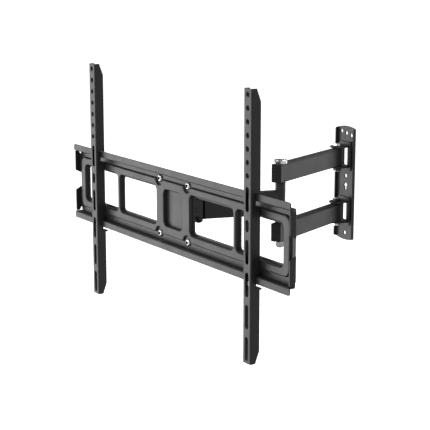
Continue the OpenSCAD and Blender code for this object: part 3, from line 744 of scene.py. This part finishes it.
def buildWallPlate():
    low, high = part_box("wall_plate")
    top = wall["sideTop"]
    sheet = addBox("wallPlate", (low.x, low.y, -top), (high.x, high.y, top))
    dropFaces(sheet, lambda centre, normal: normal.y < -0.9 or abs(normal.z) > 0.9)
    roundEdges(sheet, lambda a, b: abs(a.z - b.z) > mm and a.y > high.y - mm and b.y > high.y - mm,
               wall["bend"], 6)
    pickEdges(sheet, lambda a, b: abs(a.x - b.x) > high.x and abs(a.z) > top - mm)
    bpy.ops.mesh.subdivide(number_cuts=wall["archCuts"])
    editDone()
    for corner in sheet.data.vertices:  # the arched ends
        c = corner.co
        if abs(c.z) > top - mm and c.y > high.y - wall["bend"]:
            c.z += math.copysign((high.z - top) * (1 - (c.x / high.x) ** 2), c.z)
    roundCorners(sheet, lambda c: c.y < low.y + touch, wall["flangeCorner"], 6)
    thicken(sheet, wall["sheet"])
    front, back = low.y - clear, high.y + clear
    lagZ = top - wall["edge"]
    spots = [(i * wall["step"], lagZ - i * wall["drop"]) for i in (-1, 0, 1)]
    spots += [(0, -lagZ), (0, wall["midHole"])]
    cutAway(sheet, [addRod("lagHole", wall["hole"] / 2, (x, front, z), (x, back, z), 32) for x, z in spots])
    cutAway(sheet, [arrowHead(front, back)])
    cutAway(sheet, [addBox("arrowTail", (-arrow["tail"], front, arrow["z"] - arrow["tailLow"]),
                           (arrow["tail"], back, arrow["z"] + arrow["tailTop"]))])
    for node in ("upper_clevis", "lower_clevis"):
        cutAway(sheet, [clevisWindow(sum(c.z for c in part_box(node)) / 2, front, back)])
    softenRims(sheet, 0.35 * mm, 2, 45)
    smoothShade(sheet)
    finishPiece(sheet, "wall", "powder_coated_steel", blackCoat, "wall_plate")


clevis = {"sheet": 3 * mm, "corner": 5 * mm, "earWide": 28 * mm, "margin": 6.5 * mm}


def buildClevis(node, name):
    low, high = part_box(node)
    z = (low.z + high.z) / 2
    plateFront = high.y - clevis["sheet"]
    body = roundedPrism(name, (low.x, plateFront, low.z), (high.x, high.y, high.z), clevis["corner"])
    cutAway(body, [clevisWindow(z, low.y - mm, high.y + mm)])
    half = clevis["earWide"] / 2
    for side in (-1, 1):
        outer = (high.z - z - clevis["margin"]) * side + z
        inner = outer - side * clevis["sheet"]
        ear = addBox("ear", (-half, low.y, min(outer, inner)), (half, plateFront + bite, max(outer, inner)))
        roundEdges(ear, lambda a, b: abs(a.z - b.z) > mm and a.y < low.y + mm, half - shy, 16)
        weldOn(body, ear)
    softenRims(body, 0.4 * mm, 3, 45)
    smoothShade(body)
    finishPiece(body, "wall", "powder_coated_steel", blackCoat, node)


buildWallPlate()
buildClevis("upper_clevis", "upperClevis")
buildClevis("lower_clevis", "lowerClevis")
print("wall side")


# arms

arm = {"wide": 19 * mm, "tail": 13 * mm, "corner": 2 * mm, "capThick": 2 * mm, "capCorner": 1.9 * mm,
       "capRim": 0.7 * mm, "plugIn": 2.1 * mm, "plugDeep": 4 * mm}


def middleOf(node):
    low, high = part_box(node)
    return (low + high) / 2


def placeAlong(piece, start, end, z):  # lays a piece that was made along +X between two upright axes
    piece.rotation_euler = (0, 0, math.atan2(end.y - start.y, end.x - start.x))
    piece.location = (start.x, start.y, z)
    return settle(piece)


pivotAt = middleOf("wall_pivot_washers")
elbowAt = middleOf("elbow_tube")
headAt = middleOf("head_post")


def buildRearArm(node, capNode, name, capName):
    low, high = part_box(node)
    z, halfH = (low.z + high.z) / 2, (high.z - low.z) / 2
    halfW = arm["wide"] / 2
    end = (elbowAt - pivotAt).to_2d().length + arm["tail"]
    tube = addBox(name, (-halfW, -halfW, -halfH), (end, halfW, halfH))
    roundEdges(tube, lambda a, b: abs(a.z - b.z) > mm and a.x < 0, halfW - shy, 14)

    def onRim(c):
        return abs(abs(c.z) - halfH) < touch

    roundEdges(tube, lambda a, b: onRim(a) and onRim(b) and a.z * b.z > 0 and min(a.x, b.x) <= end - mm,
               arm["corner"], 5)
    placeAlong(tube, pivotAt, elbowAt, z)
    softenRims(tube, 0.25 * mm, 2, 60)
    smoothShade(tube)
    finishPiece(tube, "rear_arms", "powder_coated_steel", blackCoat, node)

    cap = addBox(capName, (end, -halfW, -halfH), (end + arm["capThick"], halfW, halfH))
    roundEdges(cap, lambda a, b: abs(a.x - b.x) > mm, arm["capCorner"], 5)
    roundEdges(cap, lambda a, b: a.x > end + mm and b.x > end + mm, arm["capRim"], 3)
    pickFaces(cap, lambda centre, normal: normal.x < -0.9)
    bpy.ops.mesh.inset(thickness=arm["plugIn"])
    extrudeBy(-arm["plugDeep"], 0, 0)
    editDone()
    placeAlong(cap, pivotAt, elbowAt, z)
    smoothShade(cap)
    finishPiece(cap, "rear_arms", "end_cap_plastic", capPlastic, capNode)


buildRearArm("upper_arm", "upper_arm_end_cap", "upperArm", "upperArmCap")
buildRearArm("lower_arm", "lower_arm_end_cap", "lowerArm", "lowerArmCap")


frontArm = {"wide": 15 * mm, "corner": 1.8 * mm, "wall": 2 * mm, "start": 4.9 * mm, "bore": 8 * mm,
            "hollow": 30 * mm, "fork": 9.6 * mm, "blade": 20 * mm, "tip": 9 * mm}


def buildFrontArm():
    low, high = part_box("front_arm")
    halfH, halfW, thick = (high.z - low.z) / 2, frontArm["wide"] / 2, frontArm["wall"]
    reach = (headAt - elbowAt).to_2d().length
    fork = reach - frontArm["fork"]
    tube = addBox("frontArm", (frontArm["start"], -halfW, -halfH), (fork, halfW, halfH))
    roundEdges(tube, lambda a, b: abs(a.x - b.x) > mm, frontArm["corner"], 5)
    cutAway(tube, [addBox("hollow", (frontArm["hollow"], thick - halfW, thick - halfH),
                          (fork + mm, halfW - thick, halfH - thick))])
    cutAway(tube, [addRod("elbowBore", frontArm["bore"], (0, 0, -halfH - mm), (0, 0, halfH + mm), 48)])
    flatHalf = halfW - frontArm["corner"]
    for side in (-1, 1):
        inner, outer = sorted((side * (halfH - thick), side * halfH))
        weldOn(tube, addBox("blade", (fork - frontArm["blade"], -flatHalf, inner), (reach, flatHalf, outer)))
        weldOn(tube, addBox("cheek", (fork - bite, -halfW, inner), (reach, halfW, outer)))
        weldOn(tube, addRod("tip", frontArm["tip"], (reach, 0, inner), (reach, 0, outer), 56))
    placeAlong(tube, elbowAt, headAt, 0)
    softenRims(tube, 0.3 * mm, 2, 50)
    smoothShade(tube)
    finishPiece(tube, "forearm", "powder_coated_steel", blackCoat, "front_arm")


buildFrontArm()
print("arms")


# elbow bolt and its domed nut; the profiles are in (radius, height) in mm

elbow = {"shank": 5 * mm, "headHigh": 6.5 * mm,
         "head": ((11.4, 0), (12, 0.6), (12, 5.1), (11.65, 5.9), (10.9, 6.4), (10.2, 6.5)),
         "socket": ((9, 6.5), (8.5, 6), (8.1, 4), (7.6, 3.5)),
         "nutFoot": ((9.5, 0), (10, 0.5), (10, 2.6), (9.5, 3.3), (8.4, 3.9)),
         "nutDome": ((7.5, 5), (7.1, 3), (6.1, 1.3), (4.6, 0.35), (3, 0))}  # measured down from its top


def buildElbowBolt():
    low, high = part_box("elbow_bolt")
    under = high.z - elbow["headHigh"]
    bolt = turned("elbowBolt", [(r * mm, h * mm) for r, h in elbow["head"] + elbow["socket"]], 72)
    weldOn(bolt, addRod("shank", elbow["shank"], (0, 0, low.z - under), (0, 0, bite), 40))
    bolt.location = (elbowAt.x, elbowAt.y, under)
    settle(bolt)
    smoothShade(bolt)
    finishPiece(bolt, "rear_arms", "chrome_plate", chromePlate, "elbow_bolt")


def buildElbowNut():
    low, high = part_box("elbow_nut")
    rings = [(r * mm, h * mm) for r, h in elbow["nutFoot"]]
    rings += [(r * mm, high.z - low.z - h * mm) for r, h in elbow["nutDome"]]
    nut = turned("elbowNut", rings, 72)
    nut.rotation_euler = (math.pi, 0, 0)
    nut.location = (elbowAt.x, elbowAt.y, high.z)
    settle(nut)
    smoothShade(nut)
    finishPiece(nut, "rear_arms", "chrome_plate", chromePlate, "elbow_nut")


buildElbowBolt()
buildElbowNut()
print("elbow")


# tilt bracket behind the TV plate

tilt = {"sheet": 3 * mm, "corner": 6 * mm, "cheek": 9 * mm, "washerGap": 1.4 * mm}


def buildTiltBracket():
    low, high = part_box("tilt_bracket")
    tubeLow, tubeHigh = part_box("tilt_tube")
    axisY = (tubeLow.y + tubeHigh.y) / 2
    plateBack = low.y + tilt["sheet"]
    bracket = roundedPrism("tiltBracket", (low.x, low.y, low.z), (high.x, plateBack, high.z), tilt["corner"])
    for inner, side in ((tubeHigh.x + tilt["washerGap"], 1), (tubeLow.x - tilt["washerGap"], -1)):
        left, right = sorted((inner, inner + side * tilt["sheet"]))
        cheek = addBox("cheek", (left, plateBack - bite, -tilt["cheek"]),
                       (right, axisY + tilt["cheek"], tilt["cheek"]))
        roundEdges(cheek, lambda a, b: abs(a.x - b.x) > mm and a.y > axisY, tilt["cheek"] - shy, 14)
        weldOn(bracket, cheek)
    softenRims(bracket, 0.35 * mm, 2, 45)
    smoothShade(bracket)
    finishPiece(bracket, "panel", "powder_coated_steel", blackCoat, "tilt_bracket")


buildTiltBracket()
print("tilt bracket")


# camera, light and floor

# mm for the lens, degrees for the turn and the tip
view = {"place": (1.7986, -1.4993, 0.4339), "turn": 56.28, "tip": 12.02, "lens": 104.8,
        "sensor": 36, "farthest": 200}
# the sky's greys stand at heights from 0, straight down, to 1, straight up
studio = {"floorLevel": -0.52, "floorRadius": 90, "floorGrey": (0.8, 0.83), "floorRough": 0.9,
          "floorGlow": 1.1, "sky": ((0.0, 0.28), (0.36, 0.40), (0.43, 0.58), (0.5, 0.95), (0.52, 0.6),
                                    (0.56, 0.09), (1.0, 0.035))}
# name, place, aim, width, height and watts
softLights = [("keyLight", (-4.6, -4.0, -1.1), (0, -0.35, 0), 4.0, 3.6, 190),
              ("highLight", (-2.6, -1.4, 2.4), (0, -0.3, 0), 2.4, 0.8, 12),
              ("backLight", (0.6, 3.0, -0.3), (0.05, -0.2, 0), 1.4, 1.6, 12),
              ("frontLight", (-0.4, -3.6, 1.5), (0, -0.3, 0), 2.4, 1.4, 32),
              ("topLight", (0.2, -0.5, 3.2), (0, -0.25, 0), 2.4, 2.0, 9),
              ("rearLight", (-0.7, 2.1, 3.0), (0, -0.2, 0), 2.0, 1.6, 50),
              ("leftLight", (-2.3, -0.3, 3.0), (0, -0.3, 0), 1.6, 1.6, 14)]


def buildView():
    bpy.ops.object.select_all(action="DESELECT")
    bpy.ops.object.camera_add(location=view["place"],
                              rotation=(quarter - math.radians(view["tip"]), 0, math.radians(view["turn"])))
    camera = bpy.context.object
    camera.name = "mainView"
    camera.data.lens = view["lens"]
    camera.data.sensor_width = view["sensor"]
    camera.data.clip_end = view["farthest"]
    bpy.context.scene.camera = camera


def addSoftLight(name, place, aim, width, height, power):
    bpy.ops.object.light_add(type="AREA", location=place)
    lamp = bpy.context.object
    lamp.name = name
    lamp.data.shape = "RECTANGLE"
    lamp.data.size = width
    lamp.data.size_y = height
    lamp.data.energy = power
    lamp.rotation_mode = "QUATERNION"
    lamp.rotation_quaternion = (Vector(aim) - Vector(place)).to_track_quat("-Z", "Y")
    lamp.visible_camera = False


def evenGrey(value):
    return (value, value, value)


def buildFloor():
    bpy.ops.object.select_all(action="DESELECT")
    bpy.ops.mesh.primitive_circle_add(vertices=96, radius=studio["floorRadius"], fill_type="NGON",
                                      location=(0, 0, studio["floorLevel"]))
    floor = named("floor")
    material, tree, shader, place = newFinish("paleFloor")
    cloud = addNoise(tree, place, 3, 3)
    dark, light = studio["floorGrey"]
    tree.links.new(addRamp(tree, cloud, [(0.3, evenGrey(dark)), (0.7, evenGrey(light))]),
                   shader.inputs["Base Color"])
    shader.inputs["Roughness"].default_value = studio["floorRough"]
    shader.inputs["Emission Color"].default_value = (1, 1, 1, 1)
    shader.inputs["Emission Strength"].default_value = studio["floorGlow"]
    floor.data.materials.append(material)
    floor.visible_diffuse = False  # the sky and the soft lights alone light the mount
    floor.visible_glossy = False


def buildSky():
    world = bpy.data.worlds.new("studio")
    bpy.context.scene.world = world
    world.use_nodes = True
    tree = world.node_tree
    place = tree.nodes.new("ShaderNodeTexCoord")
    parts = tree.nodes.new("ShaderNodeSeparateXYZ")
    tree.links.new(place.outputs["Generated"], parts.inputs["Vector"])
    height = addRange(tree, parts.outputs["Z"], 0, 1, -1, 1)
    greys = addRamp(tree, height, [(at, evenGrey(value)) for at, value in studio["sky"]])
    tree.links.new(greys, tree.nodes["Background"].inputs["Color"])


def dressCadNodes():  # every CAD node that stays gets its finish
    for part in frame["record"]["subparts"]:
        node = nodes[part["node"]]
        if not node.hide_render:
            for slot in node.material_slots:
                slot.material = finishOf[part["material_slot"]]


dressCadNodes()
buildView()
buildFloor()
buildSky()
for softLight in softLights:
    addSoftLight(*softLight)
bpy.context.scene.view_settings.view_transform = "Standard"
print("stage ready")
